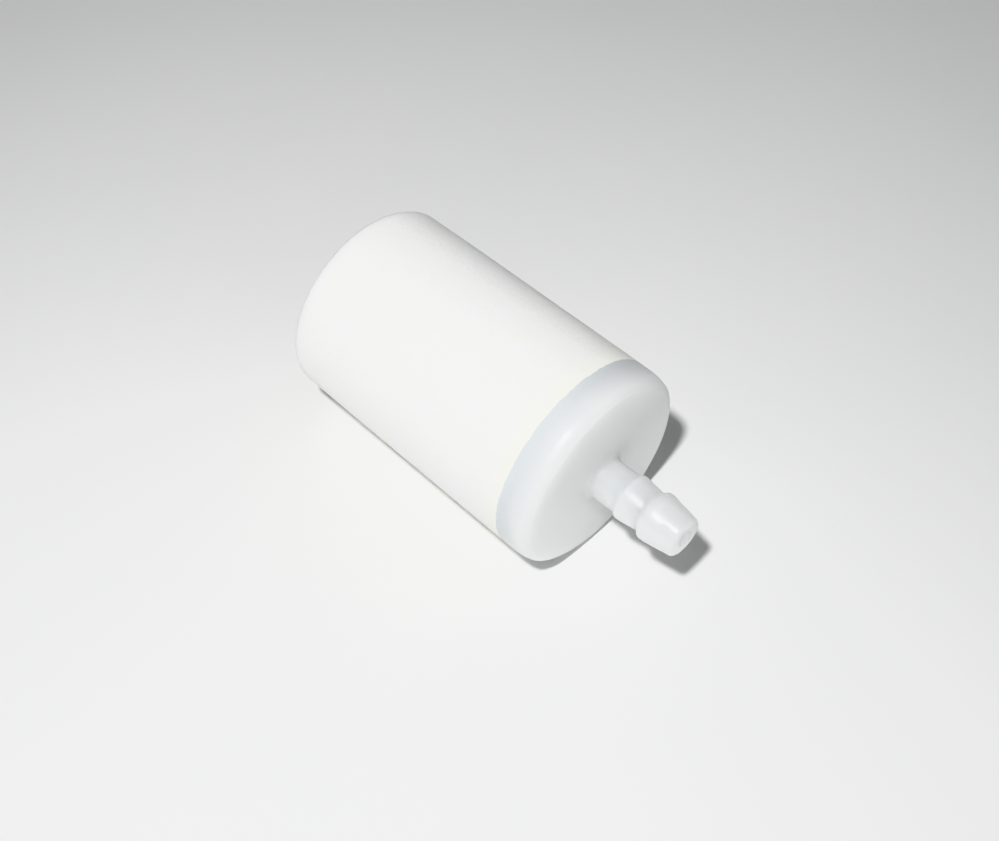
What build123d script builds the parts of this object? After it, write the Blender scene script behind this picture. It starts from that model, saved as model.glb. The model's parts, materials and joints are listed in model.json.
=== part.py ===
from build123d import *
import os

# In-tank fuel pick-up filter for a small engine, lying on its side.
# All sizes are in millimetres. The X axis is the axis of the filter: the origin is the centre
# of the flat closed end, and +X points along the hose nipple. +Z is up.

# Overall sizes
BODY_DIAMETER = 20.0
CUP_LENGTH = 26.9           # porous cup, from its closed end to its open rim
CAP_BAND = 3.35             # flange of the end cap, which carries on the cup's outside
NIPPLE_LENGTH = 9.5         # from the flange's face to the nipple's tip

# Porous cup
CUP_WALL = 3.0
CUP_FLOOR = 3.5
CUP_END_ROUNDING = 0.35     # outer edge of the closed end
CUP_CORNER_ROUNDING = 1.5   # inside corner between the floor and the wall

# End cap
CAP_BEVEL_LENGTH = 1.1      # bevel between the flange's side and its face, along the axis
CAP_BEVEL_DEPTH = 0.9       # and along the radius
CAP_BEVEL_CROWN = 0.28      # how far the bevel's middle stands out before it is rounded
CAP_BEVEL_ROUNDING = 0.8    # bevel's edge at the side, and its middle
CAP_FACE_ROUNDING = 0.2     # bevel's edge at the face
CAP_DRAFT_LENGTH = 0.85     # end of the flange's side that draws in towards the bevel
CAP_DRAFT = 0.08
CAP_SHOULDER_ROUNDING = 0.08
SPIGOT_LENGTH = 5.0         # plugs into the cup
SPIGOT_LEAD_IN = 0.6        # chamfer that starts the spigot into the cup
JOINT_GAP = 0.02            # radial space for the fused joint

# Hose nipple, as radii and as distances from the flange's face
STEM_RADIUS = 2.0
STEM_BASE_ROUNDING = 0.5
BARB_RISE_LENGTH = 0.3      # axial length of the steep side that faces the cap
REAR_BARB_RADIUS = 2.3
REAR_BARB_AT = 3.3
VALLEY_RADIUS = 2.0
VALLEY_AT = 5.7
FRONT_BARB_RADIUS = 2.4
FRONT_BARB_LAND = 0.5       # short straight crest that seals in the hose
TIP_RADIUS = 1.9
TIP_ROUNDING = 0.45
FUEL_BORE_RADIUS = 0.7

# Sinker weight inside the cup
SINKER_RADIUS = 5.0
SINKER_BORE_RADIUS = 2.5
SINKER_LENGTH = 14.0
SINKER_SEAT_DEPTH = 4.0     # part of its length that is pressed into the spigot
SINKER_CHAMFER = 0.4

# Positions that follow from the sizes
BODY_RADIUS = BODY_DIAMETER / 2
CUP_BORE_RADIUS = BODY_RADIUS - CUP_WALL
FACE_X = CUP_LENGTH + CAP_BAND
TIP_X = FACE_X + NIPPLE_LENGTH
SPIGOT_BACK_X = CUP_LENGTH - SPIGOT_LENGTH
SINKER_FRONT_X = SPIGOT_BACK_X + SINKER_SEAT_DEPTH


def half_section(*points):
    """Closed face through (x, radius) points, above the X axis."""
    return make_face(Polyline(*points, close=True))


def round_corner(section, x, radius, rounding):
    """Round the corner of a half-section that is at (x, radius)."""
    corner = section.vertices().sort_by_distance((x, radius))[0]
    return fillet(corner, rounding)


def turned(section):
    """Solid that a half-section makes when it turns about the X axis."""
    return revolve(section, Axis.X)


def filter_cup():
    """Porous cup: round wall and closed flat end, with the rim open towards the cap."""
    section = half_section(
        (0, 0),
        (0, BODY_RADIUS),
        (CUP_LENGTH, BODY_RADIUS),
        (CUP_LENGTH, CUP_BORE_RADIUS),
        (CUP_FLOOR, CUP_BORE_RADIUS),
        (CUP_FLOOR, 0),
    )
    section = round_corner(section, 0, BODY_RADIUS, CUP_END_ROUNDING)
    section = round_corner(section, CUP_FLOOR, CUP_BORE_RADIUS, CUP_CORNER_ROUNDING)
    return turned(section)


def nipple_outline():
    """(x, radius) points of the hose nipple, from the flange's face to the tip."""
    rear_crest_x = FACE_X + REAR_BARB_AT
    valley_x = FACE_X + VALLEY_AT
    front_crest_x = valley_x + BARB_RISE_LENGTH
    return [
        (FACE_X, STEM_RADIUS),
        (rear_crest_x - BARB_RISE_LENGTH, STEM_RADIUS),
        (rear_crest_x, REAR_BARB_RADIUS),
        (valley_x, VALLEY_RADIUS),
        (front_crest_x, FRONT_BARB_RADIUS),
        (front_crest_x + FRONT_BARB_LAND, FRONT_BARB_RADIUS),
        (TIP_X, TIP_RADIUS),
    ]


def crown_of(start, end, height):
    """Point that stands out from the middle of a straight line, on its left-hand side."""
    line = Vector(*end) - Vector(*start)
    middle = (Vector(*start) + Vector(*end)) / 2
    crown = middle + Vector(-line.Y, line.X).normalized() * height
    return crown.X, crown.Y


def end_cap():
    """End cap in one moulding: flange, spigot, barbed hose nipple and through bore."""
    spigot_radius = CUP_BORE_RADIUS - JOINT_GAP
    bevel_start = (FACE_X - CAP_BEVEL_LENGTH, BODY_RADIUS - CAP_DRAFT)
    bevel_end = (FACE_X, BODY_RADIUS - CAP_BEVEL_DEPTH)
    bevel_crown = crown_of(bevel_start, bevel_end, CAP_BEVEL_CROWN)
    section = half_section(
        (SPIGOT_BACK_X, SINKER_RADIUS),
        (SPIGOT_BACK_X, spigot_radius - SPIGOT_LEAD_IN),
        (SPIGOT_BACK_X + SPIGOT_LEAD_IN, spigot_radius),
        (CUP_LENGTH, spigot_radius),
        (CUP_LENGTH, BODY_RADIUS),
        (bevel_start[0] - CAP_DRAFT_LENGTH, BODY_RADIUS),
        bevel_start,
        bevel_crown,
        bevel_end,
        *nipple_outline(),
        (TIP_X, FUEL_BORE_RADIUS),
        (SINKER_FRONT_X, FUEL_BORE_RADIUS),
        (SINKER_FRONT_X, SINKER_RADIUS),
    )
    section = round_corner(section, *bevel_start, CAP_BEVEL_ROUNDING)
    section = round_corner(section, *bevel_crown, CAP_BEVEL_ROUNDING)
    section = round_corner(section, *bevel_end, CAP_FACE_ROUNDING)
    section = round_corner(section, CUP_LENGTH, BODY_RADIUS, CAP_SHOULDER_ROUNDING)
    section = round_corner(section, FACE_X, STEM_RADIUS, STEM_BASE_ROUNDING)
    section = round_corner(section, TIP_X, TIP_RADIUS, TIP_ROUNDING)
    return turned(section)


def sinker_weight():
    """Steel tube that keeps the filter at the bottom of the tank and lets fuel through."""
    back_x = SINKER_FRONT_X - SINKER_LENGTH
    radius = SINKER_RADIUS - JOINT_GAP
    section = half_section(
        (back_x, SINKER_BORE_RADIUS),
        (back_x, radius - SINKER_CHAMFER),
        (back_x + SINKER_CHAMFER, radius),
        (SINKER_FRONT_X - SINKER_CHAMFER, radius),
        (SINKER_FRONT_X, radius - SINKER_CHAMFER),
        (SINKER_FRONT_X, SINKER_BORE_RADIUS),
    )
    return turned(section)


os.makedirs("parts", exist_ok=True)
for name, make in (
    ("filter_cup", filter_cup),
    ("end_cap", end_cap),
    ("sinker_weight", sinker_weight),
):
    export_step(make(), f"parts/{name}.step")
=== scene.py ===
import itertools
import json
import math

import bpy
import numpy as np
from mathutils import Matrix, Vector


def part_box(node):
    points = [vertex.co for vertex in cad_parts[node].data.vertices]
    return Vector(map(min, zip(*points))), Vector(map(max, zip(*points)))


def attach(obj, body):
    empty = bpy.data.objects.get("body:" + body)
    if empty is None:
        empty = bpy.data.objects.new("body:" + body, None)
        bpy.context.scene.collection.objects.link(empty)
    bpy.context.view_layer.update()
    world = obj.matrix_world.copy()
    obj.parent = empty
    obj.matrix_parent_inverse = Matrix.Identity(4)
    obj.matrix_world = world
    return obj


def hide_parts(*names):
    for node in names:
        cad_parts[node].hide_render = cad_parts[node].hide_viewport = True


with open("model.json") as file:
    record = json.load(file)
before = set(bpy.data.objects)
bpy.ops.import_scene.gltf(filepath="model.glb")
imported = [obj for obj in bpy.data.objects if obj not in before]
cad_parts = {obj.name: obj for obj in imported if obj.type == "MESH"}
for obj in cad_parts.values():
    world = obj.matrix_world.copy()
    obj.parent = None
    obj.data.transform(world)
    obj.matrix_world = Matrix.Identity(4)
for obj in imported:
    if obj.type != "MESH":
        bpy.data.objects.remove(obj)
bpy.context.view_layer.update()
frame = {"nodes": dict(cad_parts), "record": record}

# The frame is in metres. Sizes in this script are in millimetres, and MM turns them into metres.
MM = 0.001

JOINT_GAP = 0.02            # radial space of the fused joints

# Places that the frame gives
CUP_LOW, CUP_HIGH = (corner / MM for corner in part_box("filter_cup"))
CAP_LOW, CAP_HIGH = (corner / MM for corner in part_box("end_cap"))
SINKER_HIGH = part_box("sinker_weight")[1] / MM
BARB = next(mount for mount in frame["record"]["mounts"] if mount["name"] == "hose_barb")
BODY_RADIUS = CUP_HIGH.z
SEAM_X = CUP_HIGH.x
TIP_X = CAP_HIGH.x
SPIGOT_BACK_X = CAP_LOW.x
SINKER_FRONT_X = SINKER_HIGH.x
SINKER_SEAT_RADIUS = SINKER_HIGH.z + JOINT_GAP
FRONT_BARB_RADIUS = BARB["dims"]["r_mm"]
FRONT_BARB_X = BARB["pos_m"][0] / MM - BARB["dims"]["length_mm"] / 2
FRONT_BARB_END_X = FRONT_BARB_X + BARB["dims"]["length_mm"]

# Porous cup
CUP_WALL = 3.0
CUP_FLOOR = 3.5
CUP_END_ROUNDING = 0.35
CUP_MOUTH_ROUNDING = 0.1    # inner edge of the rim
CUP_CORNER_ROUNDING = 1.5
GRAIN_SIZE = 0.36           # distance between the sintered grains that show
GRAIN_HEIGHT = 0.032
GRAIN_LEVEL = 0.75          # height of grain_noise that lies on the nominal surface
GRAIN_SEED = 5
GRAIN_AT_SEAM = 0.5         # share of the grains' height that is left at the seam
GRAINS_FROM_RADIUS = 7.5    # the inside of the cup is plain, and the grains fade in outside it
GRAINS_FULL_RADIUS = 8.5
GRAINS_END_DEPTH = 1.0      # the closed end has grains to this depth

# Uneven surfaces, as (height, size, seed) for rolling()
CUP_SKIN = (0.010, 1.1, 8)
CUP_SWELL = (0.025, 7.0, 9)
CAP_SWELL = (0.008, 3.5, 14)
SEAM_FINE_WAVE = (0.055, 0.42, 31)
SEAM_LONG_WAVE = (0.02, 1.7, 32)

# End cap
FLANGE_WIDTH = 3.35
BEVEL_LENGTH = 1.1          # bevel between the flange's side and its face, along the axis
BEVEL_DEPTH = 0.9
BEVEL_CROWN = 0.28          # how far the bevel's middle stands out before it is rounded
BEVEL_ROUNDING = 0.8
FACE_ROUNDING = 0.1
DRAFT_LENGTH = 0.85         # end of the flange's side that draws in towards the bevel
DRAFT_DEPTH = 0.08
DRAFT_ROUNDING = 5.0
SPIGOT_LEAD_IN = 0.6
STEM_RADIUS = 2.0
STEM_BASE_ROUNDING = 0.7
REAR_BARB_RADIUS = 2.3
REAR_BARB_AT = 3.3          # from the flange's face
BARB_RISE = 0.42
VALLEY_RADIUS = 2.0
TIP_RADIUS = 1.9
TIP_ROUNDING = 0.45
BORE_RADIUS = 0.7
MOULDED_EDGE = 0.09         # rounding that moulding leaves on a sharp edge
BARB_FOOT_ROUNDING = 0.55
BARB_CREST_ROUNDING = 0.36
FACE_X = SEAM_X + FLANGE_WIDTH

# Ripples that moulding leaves on the cap, by place
RIPPLE_SIZE = 0.8
RIPPLE_SEED = 15
RIPPLE_EVERYWHERE = 0.002
RIPPLE_ON_NIPPLE = 0.028
RIPPLE_ON_SIDE = 0.003
RIPPLE_ON_BEVEL = 0.007
NIPPLE_RIPPLE_FROM = 0.4    # distances from the flange's face
NIPPLE_RIPPLE_FULL = 1.4
BEVEL_RIPPLE_REACH = 0.3    # distances from the bevel's start
BEVEL_RIPPLE_END = 0.9

# Sink mark on the flange's face, as radii where it starts, is full, begins to end and ends
SINK_DEPTH = 0.02
SINK_RADII = (2.6, 4.5, 6.5, 8.7)
SINK_REACH = 0.1            # distance behind the face over which the mark comes in

# Seam between the cup and the cap, which is slightly ragged
SEAM_FULL = 0.1             # the raggedness is full up to this distance from the seam
SEAM_FADE = 0.7             # and has died out at this one
SEAM_CALM = 0.25            # other unevenness dies out this near the seam

# Mesh spacing
OUTER_SPACING = 0.16
CAP_SPACING = 0.13
HIDDEN_SPACING = 0.5
MOST_SEGMENTS = 400
FEWEST_SEGMENTS = 25
ARC_STEP = math.radians(11)
SHARP_ANGLE = math.radians(50)

# Camera, from a point on the axis near the flange's face
CAMERA_AIM_X = SEAM_X + 3.5
CAMERA_AZIMUTH = math.radians(44.61)
CAMERA_ELEVATION = math.radians(51.96)
CAMERA_DISTANCE = 109.71
CAMERA_SLIDE_RIGHT = -9.175
CAMERA_SLIDE_UP = 4.925
CAMERA_LENS = 44.77
CAMERA_SENSOR = 36.0

# Light, as a direction from the object towards the lamp
KEY_DIRECTION = Vector((0.120, -0.425, 0.900)).normalized()
KEY_DISTANCE = 190.0
KEY_SIZE = 14.0
KEY_POWER = 0.365
SKY_STRENGTH = 0.112
SKY_HORIZON = 0.45          # extra strength at the horizon, which fades upwards
SKY_HORIZON_FALLOFF = 5.0
SKY_GLOW = 0.80             # extra strength of the sky's bright side, low in front of the cap
SKY_GLOW_DIRECTION = Vector((0.97, -0.20, 0.14)).normalized()
SKY_GLOW_FALLOFF = 4.0
SKY_COLOUR = (0.97, 0.985, 1.0, 1)

FLOOR_Z = CUP_LOW.z
FLOOR_RADIUS = 3000.0
FLOOR_SEGMENTS = 96
# The far floor glows with painted light: emission that brightens it, though it is no lamp.
FLOOR_GLOW_START = 110.0    # beyond this distance the floor glows with painted light, up to the tone of the sky's foot
FLOOR_GLOW_END = 420.0
FLOOR_GLOW = 0.42


# Noise that is the same on each run

def cell_random(cells, seed):
    """Number from 0 to 1 for each whole-number (x, y, z) cell."""
    c = cells.astype(np.int64).astype(np.uint32)
    h = c[..., 0] * np.uint32(0x8DA6B343) ^ c[..., 1] * np.uint32(0xD8163841)
    h = h ^ c[..., 2] * np.uint32(0xCB1AB31F) ^ np.uint32(seed * 0x9E3779B1 & 0xFFFFFFFF)
    h = (h ^ h >> np.uint32(16)) * np.uint32(0x7FEB352D)
    h = (h ^ h >> np.uint32(15)) * np.uint32(0x846CA68B)
    return (h ^ h >> np.uint32(16)) / 2.0**32


def smooth_noise(points, size, seed):
    """Rolling noise from -1 to 1 whose bumps are about size across."""
    scaled = points / size
    base = np.floor(scaled)
    part = scaled - base
    part = part**3 * (part * (part * 6 - 15) + 10)
    total = np.zeros(len(points))
    for corner in itertools.product((0, 1), repeat=3):
        weight = np.prod(np.where(corner, part, 1 - part), axis=-1)
        total += weight * cell_random(base + corner, seed)
    return 2 * total - 1


def grain_noise(points, size, seed):
    """Height of packed round grains, from about 0 in the crevices to 1 on the tops."""
    scaled = points / size
    base = np.floor(scaled)
    nearest = np.full(len(points), 9.0)
    for offset in itertools.product((-1, 0, 1), repeat=3):
        cell = base + offset
        middle = cell + np.stack([cell_random(cell, seed + axis) for axis in range(3)], axis=-1)
        nearest = np.minimum(nearest, np.sum((scaled - middle) ** 2, axis=-1))
    return 1 - nearest


def rolling(points, height, size, seed):
    """Rolling noise of that height, which may be a number for each point."""
    return height * smooth_noise(points, size, seed)


def fade(value, start, end):
    """Smooth step from 0 at start to 1 at end."""
    t = np.clip((value - start) / (end - start), 0, 1)
    return t * t * (3 - 2 * t)


# Turned meshes

def rounded(corner, before, after, rounding):
    """Points of the arc that rounds an outline's corner, or the corner itself."""
    corner, before, after = (np.array(p, float) for p in (corner, before, after))
    if not rounding:
        return [corner]
    u = (before - corner) / np.linalg.norm(before - corner)
    v = (after - corner) / np.linalg.norm(after - corner)
    half = math.acos(np.clip(u @ v, -1, 1)) / 2
    middle = corner + (u + v) / np.linalg.norm(u + v) * rounding / math.sin(half)
    start = corner + u * rounding / math.tan(half) - middle
    end = corner + v * rounding / math.tan(half) - middle
    sweep = math.pi - 2 * half
    steps = max(2, math.ceil(sweep / ARC_STEP))
    turn = np.sign(start[0] * end[1] - start[1] * end[0])
    points = []
    for i in range(steps + 1):
        a = turn * sweep * i / steps
        c, s = math.cos(a), math.sin(a)
        points.append(middle + (start[0] * c - start[1] * s, start[0] * s + start[1] * c))
    return points


def outline_points(corners, closed):
    """(x, radius, spacing) rows along an outline of (x, radius, rounding, spacing) corners.

    A corner's spacing is that of the straight run that follows it."""
    count = len(corners)
    arcs = []
    for i, (x, r, rounding, _) in enumerate(corners):
        if not closed and i in (0, count - 1):
            arcs.append([np.array((x, r), float)])
        else:
            arcs.append(rounded((x, r), corners[i - 1][:2], corners[(i + 1) % count][:2], rounding))
    rows = []
    for i, arc in enumerate(arcs):
        spacing = corners[i][3]
        rows += [(*p, spacing) for p in arc]
        if not closed and i == count - 1:
            break
        start, end = arc[-1], arcs[(i + 1) % count][0]
        steps = max(1, round(np.linalg.norm(end - start) / spacing))
        rows += [(*(start + (end - start) * k / steps), spacing) for k in range(1, steps)]
    return np.array(rows)


def ring_counts(rows):
    """Segments of each ring. Neighbours have the same number, or one has twice the other's."""
    counts = []
    for x, r, spacing in rows:
        wanted = MOST_SEGMENTS
        while wanted > FEWEST_SEGMENTS and 2 * math.pi * r / wanted < spacing * 0.75:
            wanted //= 2
        if counts:
            wanted = min(max(wanted, counts[-1] // 2), counts[-1] * 2)
        counts.append(wanted)
    return counts


def bridge(a, a_count, b, b_count):
    """Faces between the ring that starts at index a and the ring that starts at index b."""
    if a_count == b_count:
        return [
            (a + j, a + (j + 1) % a_count, b + (j + 1) % a_count, b + j) for j in range(a_count)
        ]
    faces = []
    few = min(a_count, b_count)
    for j in range(few):
        k = (j + 1) % few
        if a_count > b_count:
            p, q, s = a + 2 * j, a + 2 * j + 1, a + (2 * j + 2) % a_count
            faces += [(p, q, b + j), (q, s, b + k, b + j)]
        else:
            p, q, s = b + 2 * j, b + 2 * j + 1, b + (2 * j + 2) % b_count
            faces += [(a + j, q, p), (a + j, a + k, s, q)]
    return faces


def turned(name, corners, closed, shape):
    """Closed mesh of a turned outline that has the solid on its right-hand side.

    shape takes each vertex's place, outward direction and outline place, and gives its new place."""
    rows = outline_points(corners, closed)
    counts = ring_counts(rows)
    if not closed:
        counts[0] = counts[-1] = 1
        counts[1] = counts[-2] = FEWEST_SEGMENTS
    ahead, behind = np.roll(rows[:, :2], -1, axis=0), np.roll(rows[:, :2], 1, axis=0)
    if not closed:
        ahead[-1], behind[0] = rows[-1, :2], rows[0, :2]
    tangent = ahead - behind
    tangent /= np.linalg.norm(tangent, axis=1)[:, None]
    places, outward, flat = [], [], []
    starts = []
    for (x, r, _), (tx, tr), count in zip(rows, tangent, counts):
        starts.append(sum(len(p) for p in places))
        angle = np.arange(count) * 2 * math.pi / count
        c, s = np.cos(angle), np.sin(angle)
        places.append(np.stack([np.full(count, x), r * c, r * s], axis=-1))
        outward.append(np.stack([np.full(count, -tr), tx * c, tx * s], axis=-1))
        flat.append(np.tile((x, r), (count, 1)))
    places, outward, flat = (np.concatenate(part) for part in (places, outward, flat))
    faces = []
    for i in range(len(rows) if closed else len(rows) - 1):
        k = (i + 1) % len(rows)
        if counts[i] == 1:
            faces += [(starts[i], starts[k] + (j + 1) % counts[k], starts[k] + j) for j in range(counts[k])]
        elif counts[k] == 1:
            faces += [(starts[i] + j, starts[i] + (j + 1) % counts[i], starts[k]) for j in range(counts[i])]
        else:
            faces += bridge(starts[i], counts[i], starts[k], counts[k])
    mesh = bpy.data.meshes.new(name)
    mesh.from_pydata(shape(places, outward, flat) * MM, [], faces)
    mesh.validate()
    mesh.shade_smooth()
    mesh.set_sharp_from_angle(angle=SHARP_ANGLE)
    piece = bpy.data.objects.new(name, mesh)
    bpy.context.scene.collection.objects.link(piece)
    return piece


def seam_shift(places, flat):
    """How far a point near the seam moves along X. The cup and the cap share it, so they still meet."""
    around = places[:, 1:] / np.maximum(np.linalg.norm(places[:, 1:], axis=1), 1e-6)[:, None]
    ring = np.column_stack([np.full(len(places), SEAM_X), around * BODY_RADIUS])
    wave = rolling(ring, *SEAM_FINE_WAVE) + rolling(ring, *SEAM_LONG_WAVE)
    near = 1 - fade(np.abs(flat[:, 0] - SEAM_X), SEAM_FULL, SEAM_FADE)
    outside = fade(flat[:, 1], BODY_RADIUS - 2 * SEAM_FADE, BODY_RADIUS - SEAM_FADE)
    return wave * near * outside


def nearness_to_seam(flat):
    """1 at the seam, and 0 where other unevenness has its full height."""
    return 1 - fade(np.abs(flat[:, 0] - SEAM_X), 0.0, SEAM_CALM)


def cup_shape(places, outward, flat):
    """Sintered grains, a slightly uneven skin and a ragged rim."""
    on_side = fade(flat[:, 1], GRAINS_FROM_RADIUS, GRAINS_FULL_RADIUS)
    on_end = 1 - fade(flat[:, 0], 0.0, GRAINS_END_DEPTH)
    grains = grain_noise(places, GRAIN_SIZE, GRAIN_SEED) - GRAIN_LEVEL
    uneven = rolling(places, *CUP_SKIN) + rolling(places, *CUP_SWELL)
    at_seam = nearness_to_seam(flat)
    grain_share = 1 - (1 - GRAIN_AT_SEAM) * at_seam
    lift = np.maximum(on_side, on_end) * (GRAIN_HEIGHT * grains * grain_share + uneven * (1 - at_seam))
    moved = places + outward * lift[:, None]
    moved[:, 0] += seam_shift(places, flat)
    return moved


def cap_shape(places, outward, flat):
    """Slight waves and sink that moulding leaves, and the ragged edge at the seam."""
    x, radius = flat[:, 0], flat[:, 1]
    bevel_x = FACE_X - BEVEL_LENGTH
    on_nipple = fade(x, FACE_X + NIPPLE_RIPPLE_FROM, FACE_X + NIPPLE_RIPPLE_FULL)
    on_side = 1 - fade(x, bevel_x, FACE_X - BEVEL_LENGTH / 2)
    off_bore = fade(radius, BORE_RADIUS, TIP_RADIUS)
    off_bevel = fade(np.abs(x - bevel_x), BEVEL_RIPPLE_REACH, BEVEL_RIPPLE_END)
    ripple = RIPPLE_EVERYWHERE + RIPPLE_ON_NIPPLE * on_nipple * off_bore
    ripple = ripple + RIPPLE_ON_SIDE * on_side + RIPPLE_ON_BEVEL * (1 - off_bevel)
    waves = rolling(places, *CAP_SWELL) + rolling(places, ripple, RIPPLE_SIZE, RIPPLE_SEED)
    start, full, ending, end = SINK_RADII
    on_face = fade(x, FACE_X - SINK_REACH, FACE_X)
    sink = fade(radius, start, full) * (1 - fade(radius, ending, end)) * on_face
    lift = waves * (1 - nearness_to_seam(flat)) - SINK_DEPTH * sink
    moved = places + outward * lift[:, None]
    moved[:, 0] += seam_shift(places, flat)
    return moved


def porous_cup():
    """Cup of sintered plastic grains with a closed flat end."""
    bore_radius = BODY_RADIUS - CUP_WALL
    corners = [
        (CUP_LOW.x, 0, 0, OUTER_SPACING),
        (CUP_LOW.x, BODY_RADIUS, CUP_END_ROUNDING, OUTER_SPACING),
        (SEAM_X, BODY_RADIUS, 0, OUTER_SPACING),
        (SEAM_X, bore_radius, CUP_MOUTH_ROUNDING, HIDDEN_SPACING),
        (CUP_LOW.x + CUP_FLOOR, bore_radius, CUP_CORNER_ROUNDING, HIDDEN_SPACING),
        (CUP_LOW.x + CUP_FLOOR, 0, 0, HIDDEN_SPACING),
    ]
    return turned("porous_cup", corners, False, cup_shape)


def crown_of(start, end, height):
    """Point that stands out from the middle of a straight line, on its left-hand side."""
    (x0, r0), (x1, r1) = start, end
    share = height / math.hypot(x1 - x0, r1 - r0)
    return (x0 + x1) / 2 - (r1 - r0) * share, (r0 + r1) / 2 + (x1 - x0) * share


def moulded_cap():
    """End cap in one moulding: flange, spigot and barbed hose nipple with its bore."""
    spigot_radius = BODY_RADIUS - CUP_WALL - JOINT_GAP
    edge = MOULDED_EDGE
    bevel_start = (FACE_X - BEVEL_LENGTH, BODY_RADIUS - DRAFT_DEPTH)
    bevel_end = (FACE_X, BODY_RADIUS - BEVEL_DEPTH)
    bevel_crown = crown_of(bevel_start, bevel_end, BEVEL_CROWN)
    corners = [
        (SPIGOT_BACK_X, SINKER_SEAT_RADIUS, edge, HIDDEN_SPACING),
        (SPIGOT_BACK_X, spigot_radius - SPIGOT_LEAD_IN, edge, HIDDEN_SPACING),
        (SPIGOT_BACK_X + SPIGOT_LEAD_IN, spigot_radius, edge, HIDDEN_SPACING),
        (SEAM_X, spigot_radius, edge, HIDDEN_SPACING),
        (SEAM_X, BODY_RADIUS, 0, CAP_SPACING),
        (bevel_start[0] - DRAFT_LENGTH, BODY_RADIUS, DRAFT_ROUNDING, CAP_SPACING),
        (*bevel_start, BEVEL_ROUNDING, CAP_SPACING),
        (*bevel_crown, BEVEL_ROUNDING, CAP_SPACING),
        (*bevel_end, FACE_ROUNDING, CAP_SPACING),
        (FACE_X, STEM_RADIUS, STEM_BASE_ROUNDING, CAP_SPACING),
        (FACE_X + REAR_BARB_AT - BARB_RISE, STEM_RADIUS, BARB_FOOT_ROUNDING, CAP_SPACING),
        (FACE_X + REAR_BARB_AT, REAR_BARB_RADIUS, BARB_CREST_ROUNDING, CAP_SPACING),
        (FRONT_BARB_X - BARB_RISE, VALLEY_RADIUS, BARB_FOOT_ROUNDING, CAP_SPACING),
        (FRONT_BARB_X, FRONT_BARB_RADIUS, BARB_CREST_ROUNDING, CAP_SPACING),
        (FRONT_BARB_END_X, FRONT_BARB_RADIUS, BARB_CREST_ROUNDING, CAP_SPACING),
        (TIP_X, TIP_RADIUS, TIP_ROUNDING, CAP_SPACING),
        (TIP_X, BORE_RADIUS, edge, CAP_SPACING),
        (SINKER_FRONT_X, BORE_RADIUS, edge, HIDDEN_SPACING),
        (SINKER_FRONT_X, SINKER_SEAT_RADIUS, edge, HIDDEN_SPACING),
    ]
    return turned("moulded_end_cap", corners, True, cap_shape)


# Materials

NOISE_MIDDLE = (0.35, 0.65)        # stretches of a noise node's values that a look is spread over
NOISE_SPREAD = (0.3, 0.7)
SEAM_LIGHT_FADE = (0.3, 2.3)       # distances from the seam over which the light in the plastic grows
# distances from the seam over which the cap's painted shade gives way to its milky colour; the shade stands
# in for the light that the plastic loses near the seam
SEAM_SHADE_FADE = (0.3, 2.8)
FACE_REACH = (0.2, 1.0)            # distances from the flange's face over which its look ends
SIDE_REACH = (-1.4, -0.6)          # places along X, from the face, where the side's look ends
CAP_ROUGHNESS = (0.285, 0.35)
CAP_SIDE_ROUGHER = 0.03
CAP_FACE_ROUGHER = 0.15


def new_material(name):
    """Material with its node tree and its Principled shader."""
    material = bpy.data.materials.new(name)
    material.use_nodes = True
    return material, material.node_tree, material.node_tree.nodes["Principled BSDF"]


def node(tree, kind, inputs=None, **settings):
    """New node with its settings, and its inputs set to a value or linked to a socket."""
    made = tree.nodes.new(kind)
    for key, value in settings.items():
        setattr(made, key, value)
    fill(tree, made, inputs or {})
    return made


def fill(tree, made, inputs):
    """Set a node's inputs by name or number, each to a value or linked to a socket."""
    for key, value in inputs.items():
        if isinstance(value, bpy.types.NodeSocket):
            tree.links.new(value, made.inputs[key])
        else:
            made.inputs[key].default_value = value


def place_in_mm(tree):
    """The object's own coordinates in millimetres."""
    coordinates = node(tree, "ShaderNodeTexCoord")
    scaled = node(
        tree, "ShaderNodeVectorMath",
        {0: coordinates.outputs["Object"], "Scale": 1 / MM}, operation="SCALE",
    )
    return scaled.outputs["Vector"]


def noise_node(tree, place, size, detail=2.0, roughness=0.5):
    """Noise from about 0 to 1 with features of that size in millimetres."""
    made = node(
        tree, "ShaderNodeTexNoise",
        {"Vector": place, "Scale": 1 / size, "Detail": detail, "Roughness": roughness},
    )
    return made.outputs["Fac"]


def cells_node(tree, place, size):
    """Distance from the nearest of scattered points that are about size apart, as a share of size."""
    made = node(
        tree, "ShaderNodeTexVoronoi", {"Vector": place, "Scale": 1 / size, "Randomness": 1.0}, feature="F1",
    )
    return made.outputs["Distance"]


def maths(tree, operation, *values, clamp=False):
    """Result of a Math node on values or sockets."""
    made = node(
        tree, "ShaderNodeMath", dict(enumerate(values)), operation=operation, use_clamp=clamp,
    )
    return made.outputs["Value"]


def along_axis(tree, place):
    """X of a place."""
    return node(tree, "ShaderNodeSeparateXYZ", {"Vector": place}).outputs["X"]


def remap(tree, value, low, high, to_low, to_high):
    """Value moved from the range low..high to the range to_low..to_high, and kept inside it."""
    made = node(
        tree, "ShaderNodeMapRange",
        {"Value": value, "From Min": low, "From Max": high, "To Min": to_low, "To Max": to_high},
    )
    return made.outputs["Result"]


def mix_colours(tree, share, first, second):
    """Colour between first and second."""
    made = node(tree, "ShaderNodeMix", data_type="RGBA")
    for socket, value in zip([s for s in made.inputs if s.enabled], (share, first, second)):
        if isinstance(value, bpy.types.NodeSocket):
            tree.links.new(value, socket)
        else:
            socket.default_value = value
    return next(s for s in made.outputs if s.enabled)


def from_seam(tree, place, start, end, most=1.0):
    """Value that rises from 0 to most between two distances from the seam, on either side of it."""
    ahead = maths(tree, "SUBTRACT", along_axis(tree, place), SEAM_X)
    return remap(tree, maths(tree, "ABSOLUTE", ahead), start, end, 0.0, most)


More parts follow.
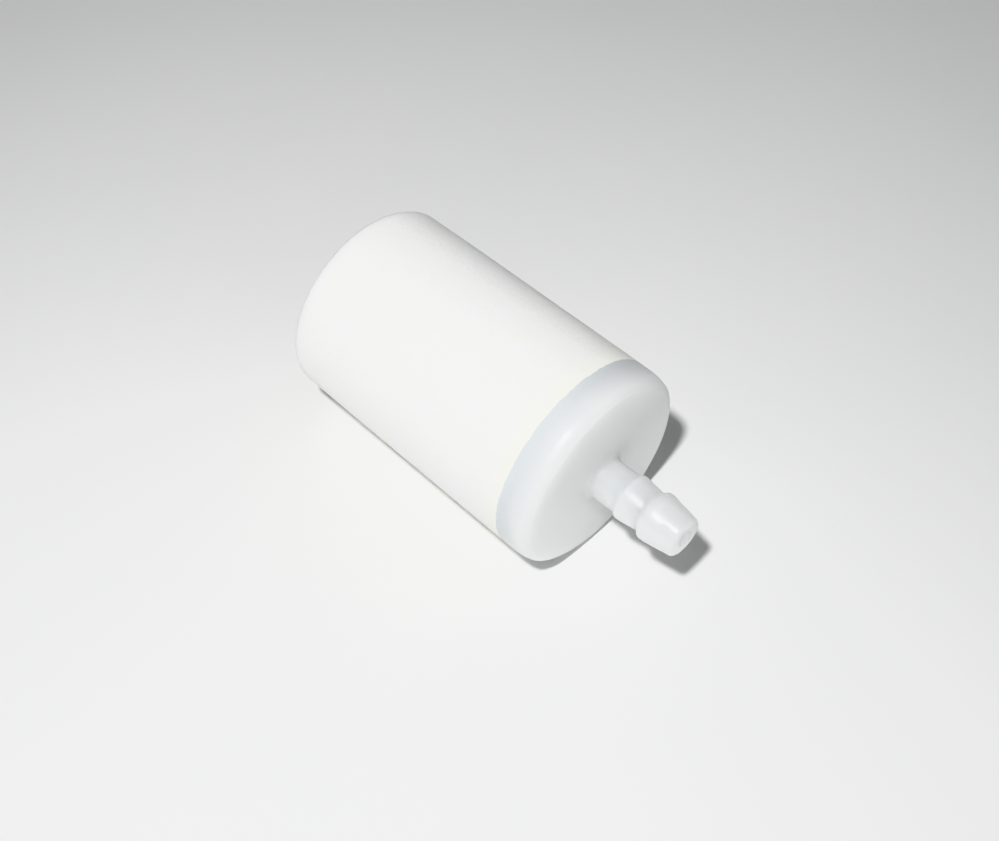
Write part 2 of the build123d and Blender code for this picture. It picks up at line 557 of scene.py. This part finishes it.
def bump(tree, height, distance, strength, normal=None):
    """Normal that a height map bends. The distance is in millimetres."""
    inputs = {"Height": height, "Distance": distance * MM, "Strength": strength}
    if normal is not None:
        inputs["Normal"] = normal
    return node(tree, "ShaderNodeBump", inputs).outputs["Normal"]


def porous_material():
    """Sintered white plastic: matt round grains with painted shade in the pores, and faint warm and cool
    clouds.
    """
    pore_spacing, cloud_size, dust_size = 0.24, 2.6, 0.12
    warm, cool = (0.978, 0.967, 0.905, 1), (0.985, 0.977, 0.925, 1)
    # colour of the painted shade in the pores
    painted_pore_shade = (0.78, 0.77, 0.74, 1)
    material, tree, shader = new_material("sintered_plastic")
    place = place_in_mm(tree)
    pores = cells_node(tree, place, pore_spacing)
    clouds = noise_node(tree, place, cloud_size, 3.0)
    dust = noise_node(tree, place, dust_size)
    body = mix_colours(tree, remap(tree, clouds, *NOISE_MIDDLE, 0, 1), warm, cool)
    # Painted shade: the colour darkens between the scattered points, where shade would fall in the pores
    # between grains.
    pore_shade_share = remap(tree, pores, 0.45, 0.85, 0.0, 0.16)
    fill(tree, shader, {
        "Base Color": mix_colours(tree, pore_shade_share, body, painted_pore_shade),
        "Roughness": remap(tree, dust, *NOISE_SPREAD, 0.82, 0.98),
        "Specular IOR Level": 0.25,
        "Subsurface Weight": from_seam(tree, place, *SEAM_LIGHT_FADE, 0.9),
        "Subsurface Radius": (1.0, 0.97, 0.93),
        "Subsurface Scale": 2.0 * MM,
        "Normal": bump(tree, dust, 0.012, 0.5, bump(tree, pores, -0.02, 0.5)),
    })
    return material


def natural_plastic_material():
    """Unpigmented moulded plastic: milky, lets light into it, satin skin, a few tiny dark inclusions,
    painted shade near the seam and a painted warm tint on the face.
    """
    cloud_size, skin_size, speck_spacing = 3.2, 0.7, 3.2
    milk_dark, milk_light = (0.850, 0.868, 0.874, 1), (0.865, 0.875, 0.876, 1)
    # painted shade near the seam, in place of the light the plastic loses there, and a painted warm tint on
    # the face for light that passes through the plastic
    painted_seam_shade, painted_warm_face = (0.64, 0.67, 0.69, 1), (0.868, 0.868, 0.848, 1)
    speck = (0.30, 0.29, 0.27, 1)
    material, tree, shader = new_material("natural_plastic")
    place = place_in_mm(tree)
    clouds = noise_node(tree, place, cloud_size, 3.0)
    skin = noise_node(tree, place, skin_size)
    ahead = maths(tree, "SUBTRACT", along_axis(tree, place), FACE_X)
    off_face = maths(tree, "ABSOLUTE", ahead)
    milk = mix_colours(tree, remap(tree, clouds, *NOISE_MIDDLE, 0, 1), milk_dark, milk_light)
    # Painted shade: the colour darkens towards the seam.
    body = mix_colours(tree, from_seam(tree, place, *SEAM_SHADE_FADE), painted_seam_shade, milk)
    # Painted light: the flange's face is tinted warm for the light that passes through the plastic.
    body = mix_colours(tree, remap(tree, off_face, *FACE_REACH, 0.0, 1.0), painted_warm_face, body)
    specks = cells_node(tree, place, speck_spacing)
    speck_share = remap(tree, specks, 0.012, 0.022, 0.7, 0.0)
    satin = remap(tree, skin, *NOISE_MIDDLE, *CAP_ROUGHNESS)
    satin = maths(tree, "ADD", satin, remap(tree, ahead, *SIDE_REACH, CAP_SIDE_ROUGHER, 0.0))
    satin = maths(tree, "ADD", satin, remap(tree, off_face, *FACE_REACH, CAP_FACE_ROUGHER, 0.0))
    fill(tree, shader, {
        "Base Color": mix_colours(tree, speck_share, body, speck),
        "Roughness": satin,
        "IOR": 1.5,
        "Subsurface Weight": from_seam(tree, place, *SEAM_LIGHT_FADE),
        "Subsurface Radius": (1.05, 1.0, 0.97),
        "Subsurface Scale": 10.0 * MM,
        "Normal": bump(tree, skin, 0.0025, 0.5),
    })
    return material


def turned_steel_material():
    """Turned steel with fine rings round the axis."""
    ring_spacing, stain_size = 0.10, 2.2
    clean, stained = (0.56, 0.56, 0.55, 1), (0.46, 0.45, 0.43, 1)
    material, tree, shader = new_material("turned_steel")
    place = place_in_mm(tree)
    stretched = node(tree, "ShaderNodeCombineXYZ", {"X": along_axis(tree, place)}).outputs["Vector"]
    rings = noise_node(tree, stretched, ring_spacing, 3.0, 0.7)
    stains = noise_node(tree, place, stain_size, 4.0)
    fill(tree, shader, {
        "Base Color": mix_colours(tree, remap(tree, stains, 0.4, 0.7, 0, 1), clean, stained),
        "Metallic": 1.0,
        "Roughness": remap(tree, rings, *NOISE_SPREAD, 0.28, 0.45),
        "Anisotropic": 0.5,
        "Normal": bump(tree, rings, 0.01, 0.6),
    })
    return material


def floor_material():
    """Pale board with faint clouds and a fine paper tooth, and a painted glow that brightens it far from
    the filter.
    """
    cloud_size, tooth_size = 45.0, 0.5
    grey, warm = (0.875, 0.875, 0.875, 1), (0.895, 0.895, 0.89, 1)
    material, tree, shader = new_material("pale_board")
    place = place_in_mm(tree)
    clouds = noise_node(tree, place, cloud_size, 3.0)
    tooth = noise_node(tree, place, tooth_size)
    away = node(tree, "ShaderNodeVectorMath", {0: place}, operation="LENGTH").outputs["Value"]
    fill(tree, shader, {
        "Base Color": mix_colours(tree, remap(tree, clouds, *NOISE_SPREAD, 0, 1), grey, warm),
        "Roughness": 0.75,
        "Specular IOR Level": 0.25,
        # Painted light: the floor glows more the further it is from the filter.
        "Emission Color": SKY_COLOUR,
        "Emission Strength": remap(tree, away, FLOOR_GLOW_START, FLOOR_GLOW_END, 0.0, FLOOR_GLOW),
        "Normal": bump(tree, tooth, 0.02, 0.3),
    })
    return material


# Studio

def board(material):
    """Plain round floor that the filter lies on."""
    mesh = bpy.data.meshes.new("floor")
    rim = [
        (FLOOR_RADIUS * MM * math.cos(a), FLOOR_RADIUS * MM * math.sin(a), FLOOR_Z * MM)
        for a in (2 * math.pi * i / FLOOR_SEGMENTS for i in range(FLOOR_SEGMENTS))
    ]
    mesh.from_pydata(rim, [], [tuple(range(FLOOR_SEGMENTS))])
    mesh.materials.append(material)
    floor = bpy.data.objects.new("floor", mesh)
    bpy.context.scene.collection.objects.link(floor)


def point_at(thing, back):
    """Turn a lamp or camera so that back is the direction from what it looks at towards it."""
    thing.rotation_mode = "QUATERNION"
    thing.rotation_quaternion = back.to_track_quat("Z", "Y")


def key_lamp():
    """Small soft lamp above and to the left of the camera."""
    data = bpy.data.lights.new("key", "AREA")
    data.shape = "DISK"
    data.size = KEY_SIZE * MM
    data.energy = KEY_POWER
    lamp = bpy.data.objects.new("key", data)
    target = Vector((FACE_X, 0, 0))
    lamp.location = (target + KEY_DIRECTION * KEY_DISTANCE) * MM
    point_at(lamp, KEY_DIRECTION)
    bpy.context.scene.collection.objects.link(lamp)


def sky():
    """Soft light from all round, stronger at the horizon and low in front of the cap."""
    world = bpy.data.worlds.new("sky")
    world.use_nodes = True
    tree = world.node_tree
    direction = node(tree, "ShaderNodeTexCoord").outputs["Generated"]
    towards = node(
        tree, "ShaderNodeVectorMath", {0: direction, 1: SKY_GLOW_DIRECTION}, operation="DOT_PRODUCT",
    ).outputs["Value"]
    glow = maths(tree, "POWER", maths(tree, "MAXIMUM", towards, 0.0), SKY_GLOW_FALLOFF)
    height = node(tree, "ShaderNodeSeparateXYZ", {"Vector": direction}).outputs["Z"]
    lowness = maths(tree, "SUBTRACT", 1.0, height, clamp=True)
    haze = maths(tree, "POWER", lowness, SKY_HORIZON_FALLOFF)
    base = maths(tree, "MULTIPLY_ADD", haze, SKY_HORIZON, SKY_STRENGTH)
    strength = maths(tree, "MULTIPLY_ADD", glow, SKY_GLOW, base)
    fill(tree, tree.nodes["Background"], {"Color": SKY_COLOUR, "Strength": strength})
    bpy.context.scene.world = world


def camera():
    """Camera at the viewing angle of the reference picture."""
    azimuth, elevation = CAMERA_AZIMUTH, CAMERA_ELEVATION
    back = Vector((
        math.sin(azimuth) * math.cos(elevation),
        -math.cos(azimuth) * math.cos(elevation),
        math.sin(elevation),
    ))
    right = Vector((math.cos(azimuth), math.sin(azimuth), 0))
    up = back.cross(right)
    aim = Vector((CAMERA_AIM_X, 0, 0))
    data = bpy.data.cameras.new("camera")
    data.sensor_width = CAMERA_SENSOR
    data.lens = CAMERA_LENS
    data.clip_start = 1 * MM
    data.clip_end = 2 * FLOOR_RADIUS * MM
    made = bpy.data.objects.new("camera", data)
    made.location = (aim + back * CAMERA_DISTANCE + right * CAMERA_SLIDE_RIGHT + up * CAMERA_SLIDE_UP) * MM
    point_at(made, back)
    bpy.context.scene.collection.objects.link(made)
    bpy.context.scene.camera = made


def tone():
    """Neutral tone curve with a soft top, so that near-white keeps its shading."""
    settings = bpy.context.scene.view_settings
    settings.view_transform = "Khronos PBR Neutral"
    settings.look = "None"


cup = porous_cup()
cup.data.materials.append(porous_material())
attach(cup, "root")
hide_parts("filter_cup")

cap = moulded_cap()
cap.data.materials.append(natural_plastic_material())
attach(cap, "root")
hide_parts("end_cap")

steel = turned_steel_material()
for slot in frame["nodes"]["sinker_weight"].material_slots:
    slot.material = steel

board(floor_material())
key_lamp()
sky()
camera()
tone()
